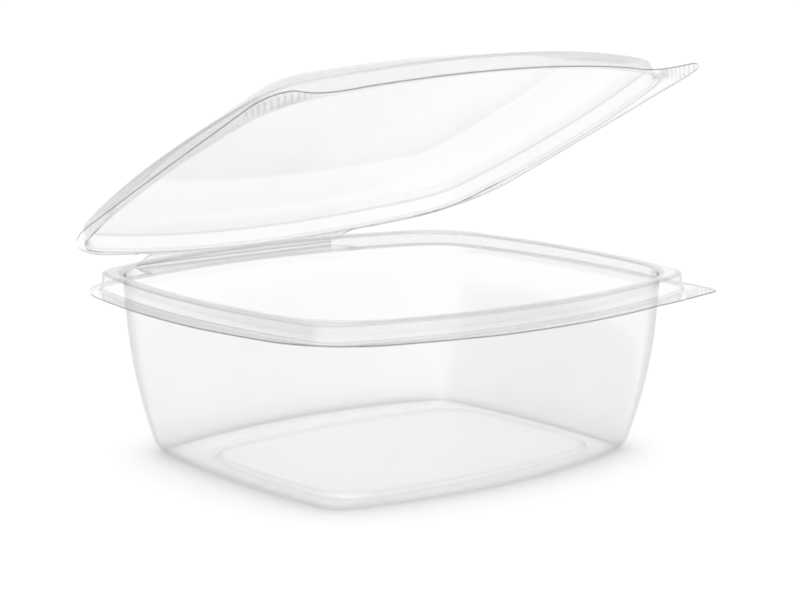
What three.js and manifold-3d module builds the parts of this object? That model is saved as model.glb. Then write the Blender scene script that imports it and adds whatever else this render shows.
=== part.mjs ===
// Clear hinged takeaway container: a tub and a shallow domed lid, thermoformed from one thin sheet
// and joined along one long side by a folding web. The lid stands part open.
//
// Millimetres, +Z up. X runs along the hinge, -Y is the opening side. The origin is on the surface
// that the tub stands on, midway between the front edge of the flange and the fold of the hinge.
//
// Every level of the sheet is a ring: a bowed rectangle with rounded corners at one height. A sheet
// is the skin over a row of such rings, from the middle of the panel out to the edge of the flange.

import * as THREE from 'three';
import { mergeVertices } from 'three/addons/utils/BufferGeometryUtils.js';
import Module from 'manifold-3d';

const wasm = await Module();
wasm.setup();

// Driving dimensions
const SHEET = 0.5;               // thickness of the formed sheet
const RIM = { a: 84, b: 78, bowA: 256, bowB: 200 };  // outer edge of the rim bead, half sizes and bows
const RIM_HEIGHT = 62;           // top of the rim bead
const FLANGE_HEIGHT = 55.4;      // middle of the tub's flange
const FLANGE_OUT = 6;            // from the rim's outer edge to the edge of the flange
const HINGE_WEB = 6.5;           // half of the web between the flanges, out to the fold
const HINGE_HALF = 43.5;         // half length of the hinge
const LID_OPEN = THREE.MathUtils.degToRad(26.6);   // how far the lid stands open
const LID_LIFT = 1.0;            // closed lid's flange above the tub's flange, middle to middle
const FOLD_GAP = 0.3;            // each half of the web ends this far from the fold
const WEB_OVERLAP = 1.5;         // each half of the web starts this far inside the flange's edge
const WEB_STEPS = 8;
const LEVEL = { base: SHEET / 2, panel: 1.7, wallFoot: 3.4, wallTop: 54.2, ledge: 57 };

// Points along each quarter of a ring: short side, corner, long side
const STEPS = { side: 5, corner: 6, front: 5 };

const TUB_Y = -HINGE_WEB / 2;                          // middle of the tub in plan
const FOLD_Y = TUB_Y + RIM.b + FLANGE_OUT + HINGE_WEB; // line that the lid turns about
const FOLD_Z = FLANGE_HEIGHT + LID_LIFT / 2;

// Rings

function ring(shape, corner, z) {
  return { ...shape, corner, z };
}

// The same outline moved outward by d, as a parallel curve
function grown(shape, d) {
  return { a: shape.a + d, b: shape.b + d, bowA: shape.bowA + d, bowB: shape.bowB + d };
}

function mixed(from, to, k) {
  const out = {};
  for (const key of Object.keys(from)) out[key] = THREE.MathUtils.lerp(from[key], to[key], k);
  return out;
}

function arc(centre, radius, from, to, steps) {
  const points = [];
  for (let i = 0; i <= steps; i++) {
    const angle = THREE.MathUtils.lerp(from, to, i / steps);
    const offset = new THREE.Vector2(Math.cos(angle), Math.sin(angle)).multiplyScalar(radius);
    points.push(offset.add(centre));
  }
  return points;
}

// Centre of the corner's arc: it touches the short side's arc and the long side's arc from inside
function cornerCentre(sideCentre, sideReach, frontCentre, frontReach) {
  const gap = frontCentre.clone().sub(sideCentre);
  const length = gap.length();
  const along = (sideReach ** 2 - frontReach ** 2 + length ** 2) / (2 * length);
  const across = Math.sqrt(sideReach ** 2 - along ** 2);
  const unit = gap.divideScalar(length);
  const foot = sideCentre.clone().addScaledVector(unit, along);
  return foot.add(new THREE.Vector2(-unit.y, unit.x).multiplyScalar(across));
}

// Plan of a ring, counterclockwise from its +X middle
function outline({ a, b, bowA, bowB, corner }) {
  const sideCentre = new THREE.Vector2(a - bowA, 0);
  const frontCentre = new THREE.Vector2(0, b - bowB);
  const centre = cornerCentre(sideCentre, bowA - corner, frontCentre, bowB - corner);
  const turnSide = centre.clone().sub(sideCentre).angle();
  const turnFront = centre.clone().sub(frontCentre).angle();
  const quarter = [
    ...arc(sideCentre, bowA, 0, turnSide, STEPS.side),
    ...arc(centre, corner, turnSide, turnFront, STEPS.corner).slice(1),
    ...arc(frontCentre, bowB, turnFront, Math.PI / 2, STEPS.front).slice(1),
  ];
  const mirror = (points, x, y) => points.map((p) => new THREE.Vector2(p.x * x, p.y * y));
  const back = quarter.slice().reverse();
  return [
    ...quarter,
    ...mirror(back, -1, 1).slice(1),
    ...mirror(quarter, -1, -1).slice(1),
    ...mirror(back, 1, -1).slice(1, -1),
  ];
}

// Sheets

// Half a thickness across the sheet at each ring, as an outward and an upward part
function skinOffsets(rings) {
  const across = (p, q) => {
    const out = (q.a - p.a + q.b - p.b) / 2;
    const up = q.z - p.z;
    return new THREE.Vector2(-up, out).normalize();
  };
  return rings.map((here, i) => {
    const before = i > 0 ? across(rings[i - 1], here) : new THREE.Vector2(0, 1);
    const after = i < rings.length - 1 ? across(here, rings[i + 1]) : before;
    const bisector = before.clone().add(after);
    return bisector.multiplyScalar(SHEET / 2 / (1 + before.dot(after)));
  });
}

function skinRing(here, offset, side) {
  return ring(grown(here, side * offset.x), here.corner + side * offset.x, here.z + side * offset.y);
}

// A closed sheet over rings that run from the middle outward
function sheet(rings, middleZ) {
  const offsets = skinOffsets(rings);
  const top = rings.map((r, i) => skinRing(r, offsets[i], 1));
  const under = rings.map((r, i) => skinRing(r, offsets[i], -1));
  const positions = [];
  const faces = [];
  const add = (rows) => rows.map((r) => outline(r).map((p) => {
    positions.push(p.x, p.y, r.z);
    return positions.length / 3 - 1;
  }));
  const topRows = add(top);
  const underRows = add(under);
  const count = topRows[0].length;
  positions.push(0, 0, middleZ + SHEET / 2, 0, 0, middleZ - SHEET / 2);
  const topMiddle = positions.length / 3 - 2;
  const underMiddle = topMiddle + 1;
  for (let j = 0; j < count; j++) {
    const k = (j + 1) % count;
    faces.push(topMiddle, topRows[0][j], topRows[0][k]);
    faces.push(underMiddle, underRows[0][k], underRows[0][j]);
    for (let i = 0; i < rings.length - 1; i++) {
      faces.push(topRows[i][j], topRows[i + 1][j], topRows[i + 1][k]);
      faces.push(topRows[i][j], topRows[i + 1][k], topRows[i][k]);
      faces.push(underRows[i][j], underRows[i + 1][k], underRows[i + 1][j]);
      faces.push(underRows[i][j], underRows[i][k], underRows[i + 1][k]);
    }
    const lastTop = topRows[rings.length - 1];
    const lastUnder = underRows[rings.length - 1];
    faces.push(lastTop[j], lastUnder[j], lastUnder[k]);
    faces.push(lastTop[j], lastUnder[k], lastTop[k]);
  }
  const geometry = new THREE.BufferGeometry();
  geometry.setAttribute('position', new THREE.Float32BufferAttribute(positions, 3));
  geometry.setIndex(faces);
  return geometry;
}

// Joining

function solid(geometry) {
  const bare = geometry.clone();
  bare.deleteAttribute('normal');
  bare.deleteAttribute('uv');
  const merged = mergeVertices(bare, 1e-5);
  const vertProperties = Float32Array.from(merged.attributes.position.array);
  const triVerts = Uint32Array.from(merged.index.array);
  return new wasm.Manifold(new wasm.Mesh({ numProp: 3, vertProperties, triVerts }));
}

function joined(first, ...others) {
  const whole = others.reduce((sum, next) => sum.add(solid(next)), solid(first));
  const mesh = whole.getMesh();
  const geometry = new THREE.BufferGeometry();
  geometry.setAttribute('position', new THREE.Float32BufferAttribute(mesh.vertProperties, 3));
  geometry.setIndex(Array.from(mesh.triVerts));
  geometry.computeVertexNormals();
  return geometry;
}

// Flange details, all in the plane of a flange at height z

// Half of the hinge's web, from just inside the flange's bowed edge out to the fold
function hingeWeb(flange) {
  const end = FOLD_Y - TUB_Y - FOLD_GAP;
  const points = [new THREE.Vector2(-HINGE_HALF, end), new THREE.Vector2(HINGE_HALF, end)];
  for (let i = 0; i <= WEB_STEPS; i++) {
    const x = THREE.MathUtils.lerp(HINGE_HALF, -HINGE_HALF, i / WEB_STEPS);
    points.push(new THREE.Vector2(x, flange.b - WEB_OVERLAP - x ** 2 / (2 * flange.bowB)));
  }
  return plate(points, flange.z);
}

// A flat piece of sheet of that outline, with its middle at height z
function plate(points, z) {
  const flat = new THREE.ExtrudeGeometry(new THREE.Shape(points), {
    depth: SHEET,
    bevelEnabled: false,
    steps: 1,
  });
  return flat.translate(0, 0, z - SHEET / 2);
}

// A flat ear between an outer curve and the flange just inside its edge
function ear(outerPoints, flange, side, z) {
  const first = outerPoints[0];
  const last = outerPoints[outerPoints.length - 1];
  const inner = outline({ ...grown(flange, -2), corner: flange.corner })
    .filter((p) => p.x * side > last.x && p.y < 0 && p.y < first.y)
    .map((p) => new THREE.Vector2(Math.abs(p.x), p.y))
    .sort((p, q) => p.y - q.y);
  const flat = plate([...outerPoints, ...inner], z);
  return side > 0 ? flat : mirroredX(flat);
}

function mirroredX(geometry) {
  const flipped = geometry.clone();
  flipped.scale(-1, 1, 1);
  const position = flipped.attributes.position;
  for (let i = 0; i < position.count; i += 3) {
    const p = new THREE.Vector3().fromBufferAttribute(position, i);
    const q = new THREE.Vector3().fromBufferAttribute(position, i + 1);
    position.setXYZ(i, q.x, q.y, q.z);
    position.setXYZ(i + 1, p.x, p.y, p.z);
  }
  return flipped;
}

// Fine grip ribs across an ear, along a row from one point to another
function gripRibs({ from, to, count, length, side }, z) {
  const row = to.clone().sub(from);
  const turn = Math.atan2(row.y, row.x);
  const ribs = [];
  for (let i = 0; i < count; i++) {
    const at = from.clone().addScaledVector(row, i / (count - 1));
    const rib = new THREE.BoxGeometry(0.9, length, 0.3);
    rib.rotateZ(turn * side);
    ribs.push(rib.translate(at.x * side, at.y, z));
  }
  return ribs;
}

// Tub

const TUB_MATERIAL = new THREE.MeshStandardMaterial({
  color: 0xeef1f2, roughness: 0.08, metalness: 0, transparent: true, opacity: 0.35,
});

// The wall is drafted and slightly convex: it leaves the foot fast and steepens towards the rim
const WALL_FOOT = ring({ a: 68.4, b: 60.8, bowA: 352.4, bowB: 194.4 }, 9, LEVEL.wallFoot);
const WALL_TOP = ring(grown(RIM, -3.9), 33, LEVEL.wallTop);
const WALL_BULGE = 0.85;
const WALL_RINGS = 6;

function wallRings() {
  const rings = [];
  for (let i = 0; i <= WALL_RINGS; i++) {
    const t = i / WALL_RINGS;
    const k = t + WALL_BULGE * t * (1 - t);
    rings.push({ ...mixed(WALL_FOOT, WALL_TOP, k), z: THREE.MathUtils.lerp(WALL_FOOT.z, WALL_TOP.z, t) });
  }
  return rings;
}

// A raised panel in the middle and a foot band around it, which the tub stands on
function baseRings() {
  const panel = { a: 56, b: 47.5, bowA: 170, bowB: 190 };
  return [
    ring(panel, 9, LEVEL.panel),
    ring(grown(panel, 1.5), 10.5, LEVEL.base),
    ring({ a: 64.8, b: 57.2, bowA: 349, bowB: 191 }, 7, LEVEL.base),
    ring({ a: 66.8, b: 59.2, bowA: 351, bowB: 193 }, 8.4, 1.2),
  ];
}

// Ledge, bead, outer skirt and flange
function rimRings() {
  const top = RIM_HEIGHT - SHEET / 2;
  return [
    ring(grown(RIM, -3.4), 34, LEVEL.ledge),
    ring(grown(RIM, -3.6), 34, top - 0.6),
    ring(grown(RIM, -2.9), 30, top),
    ring(grown(RIM, -0.7), 14.5, top),
    ring(grown(RIM, 0), 13, top - 0.6),
    ring(grown(RIM, 0.5), 13.5, FLANGE_HEIGHT + 0.8),
    ring(grown(RIM, 1.2), 14.5, FLANGE_HEIGHT),
    TUB_FLANGE,
  ];
}

const TUB_FLANGE = ring(grown(RIM, FLANGE_OUT), 30, FLANGE_HEIGHT);

// The front right corner of the tub's flange is pointed and ribbed, the others are rounded
function tubEar() {
  const edge = outline(TUB_FLANGE).filter((p) => p.x > 0 && p.y < 0);
  const side = edge.filter((p) => p.y > -50 && p.y < -36).sort((p, q) => q.y - p.y);
  const front = edge.filter((p) => p.x < 47 && p.x > 34).sort((p, q) => q.x - p.x);
  const point = [
    [85.3, -56], [84.4, -63], [83.8, -68.4], [82.3, -71.4], [79.6, -72.5], [71.4, -74.2], [58.6, -77],
  ];
  return ear([...side, ...point.map(([x, y]) => new THREE.Vector2(x, y)), ...front], TUB_FLANGE, 1, FLANGE_HEIGHT);
}

const TUB_RIBS = {
  from: new THREE.Vector2(72.5, -71.6), to: new THREE.Vector2(81.8, -64.2), count: 6, length: 4.6, side: 1,
};

function makeTub() {
  const rings = [...baseRings(), ...wallRings(), ...rimRings()];
  const body = sheet(rings, LEVEL.panel);
  const under = FLANGE_HEIGHT - SHEET / 2;
  const geometry = joined(body, hingeWeb(TUB_FLANGE), tubEar(), ...gripRibs(TUB_RIBS, under));
  const tub = new THREE.Mesh(geometry, TUB_MATERIAL);
  tub.name = 'tub';
  tub.position.set(0, TUB_Y, 0);
  return tub;
}

// Lid, modelled shut over a plane at the middle of its own flange

const LID_MATERIAL = new THREE.MeshStandardMaterial({
  color: 0xe8ecee, roughness: 0.08, metalness: 0, transparent: true, opacity: 0.35,
});

// The lid is a little wider than the tub, with a nearly straight flange along its short sides
const LID_FLANGE = ring({ a: 92.4, b: 81.4, bowA: 1800, bowB: 235 }, 32, 0);
const LID_SKIRT = { a: 88, b: 79.2, bowA: 261, bowB: 201 };
const LID_LEDGE = { a: 81.6, b: 72, bowA: 262, bowB: 205 };
const PLATEAU = { a: 66.2, b: 54.6, bowA: 285, bowB: 200 };
const CROWN = 17.6;
const PLATEAU_HEIGHT = 16.5;
const LEDGE_IN = 7.9;
const LEDGE_OUT = 6.4;

function lidRings() {
  return [
    ring({ a: 36, b: 29, bowA: 210, bowB: 150 }, 8, CROWN - 0.25),
    ring(grown(PLATEAU, -1.2), 12, PLATEAU_HEIGHT),
    ring(grown(PLATEAU, 0.6), 13.5, PLATEAU_HEIGHT - 0.7),
    ring(mixed(PLATEAU, LID_LEDGE, 0.55), 15.5, 11.8),
    ring(LID_LEDGE, 17, LEDGE_IN + 0.2),
    ring(grown(LID_LEDGE, 1), 17.5, LEDGE_IN - 0.1),
    ring(grown(LID_SKIRT, -0.7), 18.3, LEDGE_OUT),
    ring(LID_SKIRT, 19, LEDGE_OUT - 0.6),
    ring(grown(LID_SKIRT, 0.4), 20, 0.9),
    ring(grown(LID_SKIRT, 1.2), 21, 0),
    LID_FLANGE,
  ];
}

// Outer curve of a pull ear at a front corner, for +X, from the short side round to the front
function lidEarCurve() {
  const side = new THREE.Vector2(LID_FLANGE.a - 40 ** 2 / (2 * LID_FLANGE.bowA), -40);
  const front = new THREE.Vector2(56, 56 ** 2 / (2 * LID_FLANGE.bowB) - LID_FLANGE.b);
  const curve = new THREE.Shape();
  curve.moveTo(side.x, side.y);
  curve.lineTo(91.7, -60);
  curve.quadraticCurveTo(92.4, -74.8, 82.5, -75.4);
  curve.quadraticCurveTo(70, -69, front.x, front.y);
  return curve.getPoints(6);
}

const LID_RIBS = {
  from: new THREE.Vector2(75.5, -71), to: new THREE.Vector2(88, -60), count: 10, length: 5, side: 1,
};

function makeLid() {
  const top = SHEET / 2;
  const ears = [1, -1].map((side) => ear(lidEarCurve(), LID_FLANGE, side, 0));
  const ribs = [1, -1].flatMap((side) => gripRibs({ ...LID_RIBS, side }, top));
  const geometry = joined(sheet(lidRings(), CROWN), hingeWeb(LID_FLANGE), ...ears, ...ribs);
  const lid = new THREE.Mesh(geometry, LID_MATERIAL);
  lid.name = 'lid';
  lid.position.set(0, TUB_Y - FOLD_Y, LID_LIFT / 2);
  return lid;
}

// Assembly

function makeContainer() {
  const fold = new THREE.Group();
  fold.position.set(0, FOLD_Y, FOLD_Z);
  fold.rotation.x = -LID_OPEN;
  fold.add(makeLid());
  const container = new THREE.Group();
  container.add(makeTub(), fold);
  return container;
}

export default makeContainer();
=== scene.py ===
"""Clear hinged takeaway container, empty and standing part open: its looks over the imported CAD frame.

The tub and the lid are each one thin formed sheet. Every level of a sheet is a ring, which is a bowed
rectangle with rounded corners at one height, and the rows between the rings round the bends. Sizes are
millimetres in the classes and metres in the meshes. X runs along the hinge, -Y is the opening side and
the container stands on z 0.
"""

from __future__ import annotations

import logging
import math
from dataclasses import astuple, dataclass, replace
from enum import Enum

import bpy
import numpy as np
from mathutils import Matrix, Vector

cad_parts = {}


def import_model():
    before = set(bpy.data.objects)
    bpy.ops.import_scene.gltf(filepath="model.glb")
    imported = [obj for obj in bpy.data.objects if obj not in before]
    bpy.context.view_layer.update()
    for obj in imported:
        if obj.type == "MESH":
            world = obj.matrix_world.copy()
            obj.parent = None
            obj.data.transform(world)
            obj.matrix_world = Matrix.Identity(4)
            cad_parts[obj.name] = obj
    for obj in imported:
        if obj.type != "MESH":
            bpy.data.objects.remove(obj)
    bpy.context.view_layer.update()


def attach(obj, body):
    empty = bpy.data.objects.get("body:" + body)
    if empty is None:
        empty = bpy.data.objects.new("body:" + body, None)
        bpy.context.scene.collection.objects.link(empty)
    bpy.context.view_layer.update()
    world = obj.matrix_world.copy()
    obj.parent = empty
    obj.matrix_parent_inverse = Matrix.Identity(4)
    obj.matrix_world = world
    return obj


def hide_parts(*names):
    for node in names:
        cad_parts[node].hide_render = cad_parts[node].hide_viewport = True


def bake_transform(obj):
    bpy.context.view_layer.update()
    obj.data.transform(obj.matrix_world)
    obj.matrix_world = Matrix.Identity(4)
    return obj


LOG = logging.getLogger("container")

MM = 0.001
WHITE = (1.0, 1.0, 1.0, 1.0)
SHARP_FROM = math.radians(48)  # faces that meet at more than this keep a hard edge

Array = np.ndarray
Piece = bpy.types.Object
Socket = bpy.types.NodeSocket
PlanPoint = tuple[float, float]
RibPoint = tuple[float, float, float]  # where a rib's middle lies in plan, and the rib's length


class Body(Enum):
    """The bodies of the frame that a piece can ride on."""

    TUB = "tub"
    LID = "lid"


class Side(Enum):
    """Which way along the hinge a mirrored detail lies."""

    RIGHT = 1
    LEFT = -1


@dataclass(frozen=True)
class Sizes:
    """Sizes that the tub and the lid share, in millimetres."""

    sheet: float = 0.5
    rim_a: float = 84.0
    rim_b: float = 78.0
    rim_bow_a: float = 256.0
    rim_bow_b: float = 200.0
    rim_height: float = 62.0
    flange_height: float = 55.4
    flange_out: float = 6.0
    hinge_web: float = 6.5
    hinge_half: float = 43.5
    lid_open: float = math.radians(26.6)
    lid_lift: float = 1.0
    fold_gap: float = 0.3

    @property
    def tub_y(self) -> float:
        """Middle of the tub in plan."""
        return -self.hinge_web / 2

    @property
    def fold_y(self) -> float:
        """Where the line that the lid turns about lies along Y."""
        return self.tub_y + self.rim_b + self.flange_out + self.hinge_web

    @property
    def fold_z(self) -> float:
        """Height of the line that the lid turns about."""
        return self.flange_height + self.lid_lift / 2


SIZES = Sizes()


@dataclass(frozen=True)
class Ring:
    """A bowed rectangle at one height, in millimetres.

    Attributes:
        a: Half length along X.
        b: Half length along Y.
        bow_a: Radius of the two sides that cross X.
        bow_b: Radius of the two sides that cross Y.
        corner: Radius of the corners.
        z: Height of the middle of the sheet.
    """

    a: float
    b: float
    bow_a: float
    bow_b: float
    corner: float
    z: float

    def grown(self, d: float, corner: float | None = None, z: float | None = None) -> Ring:
        """The outline moved outward as a parallel curve.

        Args:
            d: How far outward, in millimetres.
            corner: New corner radius, or None to keep it.
            z: New height, or None to keep it.

        Returns:
            The new ring.
        """
        return Ring(
            self.a + d,
            self.b + d,
            self.bow_a + d,
            self.bow_b + d,
            self.corner if corner is None else corner,
            self.z if z is None else z,
        )

    def towards(self, other: Ring, k: float) -> Ring:
        """The ring a share k of the way to another one."""
        return Ring(*(p + (q - p) * k for p, q in zip(astuple(self), astuple(other))))

    def shrunk(self, k: float, z: float) -> Ring:
        """The same outline at k times its size, at height z."""
        return Ring(self.a * k, self.b * k, self.bow_a * k, self.bow_b * k, self.corner * k, z)

    def apart(self, other: Ring) -> float:
        """Distance to another ring across the sheet, in millimetres."""
        out = (other.a - self.a + other.b - self.b) / 2
        return math.hypot(out, other.z - self.z)

    def quarter(self, side: Array, turn: Array, long: Array) -> Array:
        """Plan points from the +X middle round the corner to the +Y middle.

        Args:
            side: Places along the side that crosses X, from 0 to 1.
            turn: Places along the corner, from 0 to 1.
            long: Places along the side that crosses Y, from 0 to 1.

        Returns:
            The points, one row each.
        """
        side_centre = np.array([self.a - self.bow_a, 0.0])
        long_centre = np.array([0.0, self.b - self.bow_b])
        reach = self.bow_a - self.corner
        gap = long_centre - side_centre
        length = float(np.hypot(*gap))
        along = (reach**2 - (self.bow_b - self.corner) ** 2 + length**2) / (2 * length)
        across = math.sqrt(reach**2 - along**2)
        unit = gap / length
        centre = side_centre + unit * along + np.array([-unit[1], unit[0]]) * across
        turn_side = math.atan2(*(centre - side_centre)[::-1])
        turn_long = math.atan2(*(centre - long_centre)[::-1])

        def arc(middle: Array, radius: float, start: float, end: float, places: Array) -> Array:
            """Points of an arc at those places between two angles."""
            angle = start + (end - start) * places
            return middle + radius * np.column_stack([np.cos(angle), np.sin(angle)])

        return np.concatenate([
            arc(side_centre, self.bow_a, 0.0, turn_side, side),
            arc(centre, self.corner, turn_side, turn_long, turn)[1:],
            arc(long_centre, self.bow_b, turn_long, math.pi / 2, long)[1:],
        ])


SIDE_COLUMNS, TURN_COLUMNS, BACK_COLUMNS, FRONT_COLUMNS = 17, 23, 25, 29
PAST_HINGE_END = (2.2, 1.2, 0.6, 0.25, 0.06, -0.06, -0.5, -1.2)  # where more columns stand, in millimetres


@dataclass(frozen=True)
class Columns:
    """Where the columns of a sheet stand along each quarter of every ring, as places from 0 to 1."""

    side: Array
    turn: Array
    back: Array
    front: Array

    def outline(self, ring: Ring) -> Array:
        """Plan of a whole ring, counterclockwise from its +X middle."""
        back = ring.quarter(self.side, self.turn, self.back)
        front = ring.quarter(self.side, self.turn, self.front)
        return np.concatenate([
            back,
            (back * [-1, 1])[::-1][1:],
            (front * [-1, -1])[1:],
            (front * [1, -1])[::-1][1:-1],
        ])

    @classmethod
    def for_flange(cls, flange: Ring) -> Columns:
        """Columns with extra ones at the ends of the hinge.

        Args:
            flange: The ring at the edge of the flange, which the hinge's ends are placed on.

        Returns:
            The columns.
        """
        even = np.linspace(0, 1, BACK_COLUMNS)
        ends = np.array([0.0, 1.0])
        plain = flange.quarter(ends, ends, even)[-BACK_COLUMNS:]
        extra = np.interp(-(SIZES.hinge_half + np.array(PAST_HINGE_END)), -plain[:, 0], even)
        return cls(
            side=np.linspace(0, 1, SIDE_COLUMNS),
            turn=np.linspace(0, 1, TURN_COLUMNS),
            back=np.unique(np.concatenate([even, extra])),
            front=np.linspace(0, 1, FRONT_COLUMNS),
        )


@dataclass(frozen=True)
class Bend:
    """A ring where the sheet's profile turns, and how far from it the bend starts, in millimetres."""

    ring: Ring
    start: float = 0.9


MOST_OF_A_LEG = 0.45  # a bend takes up at most this share of the stretch beside it


def rounded(bends: list[Bend], parts: int = 4, longest: float = 5.0) -> list[Ring]:
    """Rows of a profile, with its bends rounded and its long stretches divided.

    Args:
        bends: The profile from the middle of the panel outward.
        parts: Divisions of each bend.
        longest: Longest stretch between two rows, in millimetres.

    Returns:
        The rows, from the middle outward.
    """
    rows: list[Ring] = []

    def reach(row: Ring) -> None:
        """Adds a row, with even ones before it where the stretch is long."""
        if rows:
            steps = max(1, math.ceil(rows[-1].apart(row) / longest))
            last = rows[-1]
            rows.extend(last.towards(row, i / steps) for i in range(1, steps))
        rows.append(row)

    for i, bend in enumerate(bends):
        if i in (0, len(bends) - 1) or bend.start == 0:
            reach(bend.ring)
            continue
        before, after = bends[i - 1].ring, bends[i + 1].ring
        first = bend.ring.towards(before, min(MOST_OF_A_LEG, bend.start / bend.ring.apart(before)))
        last = bend.ring.towards(after, min(MOST_OF_A_LEG, bend.start / bend.ring.apart(after)))
        reach(first)
        for step in range(1, parts + 1):
            k = step / parts
            rows.append(first.towards(bend.ring, k).towards(bend.ring.towards(last, k), k))
    return rows


SHORTEST_LEG = 1e-6
TIGHTEST_BEND = 0.4   # radius, in millimetres, at which a bend counts in full and gets all its painted shade
# how much the painted shade in bends favours the tightest ones
BEND_CONTRAST = 1.5
STEEP_GAIN = 2.2      # times the sine of the slope, which makes 1 at 27 degrees


def legs(rows: list[Ring]) -> tuple[Array, Array]:
    """Length and direction of the profile between each two rows."""
    path = np.array([[(r.a + r.b) / 2, r.z] for r in rows])
    leg = np.diff(path, axis=0)
    return np.maximum(np.hypot(*leg.T), SHORTEST_LEG), np.unwrap(np.arctan2(leg[:, 1], leg[:, 0]))


def sharpness(rows: list[Ring]) -> Array:
    """How sharply the sheet turns at each row, from 0 where it is flat to 1 in its tightest bends, which sets
    the painted shade in them.
    """
    length, heading = legs(rows)
    turning = np.abs(np.diff(heading)) / ((length[1:] + length[:-1]) / 2)
    return np.clip(np.concatenate([[0], turning, [0]]) * TIGHTEST_BEND, 0, 1) ** BEND_CONTRAST


def steepness(rows: list[Ring]) -> Array:
    """How steeply the sheet stands at each row, from 0 where it lies level to 1 from 27 degrees up, which
    weights the painted shade of an end-on look.
    """
    rise = np.minimum(STEEP_GAIN * np.abs(np.sin(legs(rows)[1])), 1)
    return np.concatenate([rise[:1], (rise[1:] + rise[:-1]) / 2, rise[-1:]])


class Tree:
    """A node tree that is built one node at a time."""

    def __init__(self, tree: bpy.types.NodeTree) -> None:
        """Takes an empty tree to build in."""
        self.tree = tree

    def add(
        self, kind: str, inputs: dict[str | int, object] | None = None, **settings: object
    ) -> bpy.types.Node:
        """Adds a node.

        Args:
            kind: The node's type.
            inputs: What each input gets: a socket to link from, or a value.
            settings: The node's own settings.

        Returns:
            The node.
        """
        node = self.tree.nodes.new(kind)
        for name, value in settings.items():
            setattr(node, name, value)
        for key, value in (inputs or {}).items():
            socket = node.inputs[key]
            if isinstance(value, Socket):
                self.tree.links.new(value, socket)
            else:
                socket.default_value = value
        return node

    def math(self, operation: str, *values: object) -> Socket:
        """A Math node's result over sockets or numbers."""
        return self.add("ShaderNodeMath", dict(enumerate(values)), operation=operation).outputs[0]

    def ramp(self, value: object, given: tuple[float, float], wanted: tuple[float, float]) -> Socket:
        """A value eased from one range to another."""
        return self.add("ShaderNodeMapRange", {
            "Value": value,
            "From Min": given[0],
            "From Max": given[1],
            "To Min": wanted[0],
            "To Max": wanted[1],
        }, interpolation_type="SMOOTHSTEP").outputs[0]

    def blend(self, share: object, low: object, high: object) -> Socket:
        """A value that goes from one to another by a share from 0 to 1."""
        return self.add("ShaderNodeMix", {0: share, 2: low, 3: high}, data_type="FLOAT").outputs[0]

    def scale(self, vector: Socket, by: object) -> Socket:
        """A vector times a number."""
        return self.add("ShaderNodeVectorMath", {0: vector, "Scale": by}, operation="SCALE").outputs[0]


MIRROR_POWER = 4.6      # how fast the mirroring grows towards a grazing look
END_ON_POWER = 9.0      # how fast the sheet darkens towards a look end on, partly absorption and partly painted shade
LEVEL_END_ON = 0.15     # share of that darkening, painted shade in part, that is left where the sheet lies level
LIGHT_MIRRORED = -0.85  # how much less is mirrored of light on its way to the floor
LIGHT_LOST = -0.7       # how much less of it is lost
STREAK_LOSS = 0.004
DARKEST = 0.3           # least share of light that one skin lets through
MILK = (0.95, 0.95, 0.95, 1.0)
RIPPLE_SCALE, RIPPLE_DETAIL = 38.0, 2.0
RIPPLE_STRENGTH, RIPPLE_DEPTH = 0.03, 0.0012
STREAK_SCALE, STREAK_DETAIL = (26.0, 26.0, 9.0), 3.0
STREAK_RANGE = (0.35, 0.7)


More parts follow.
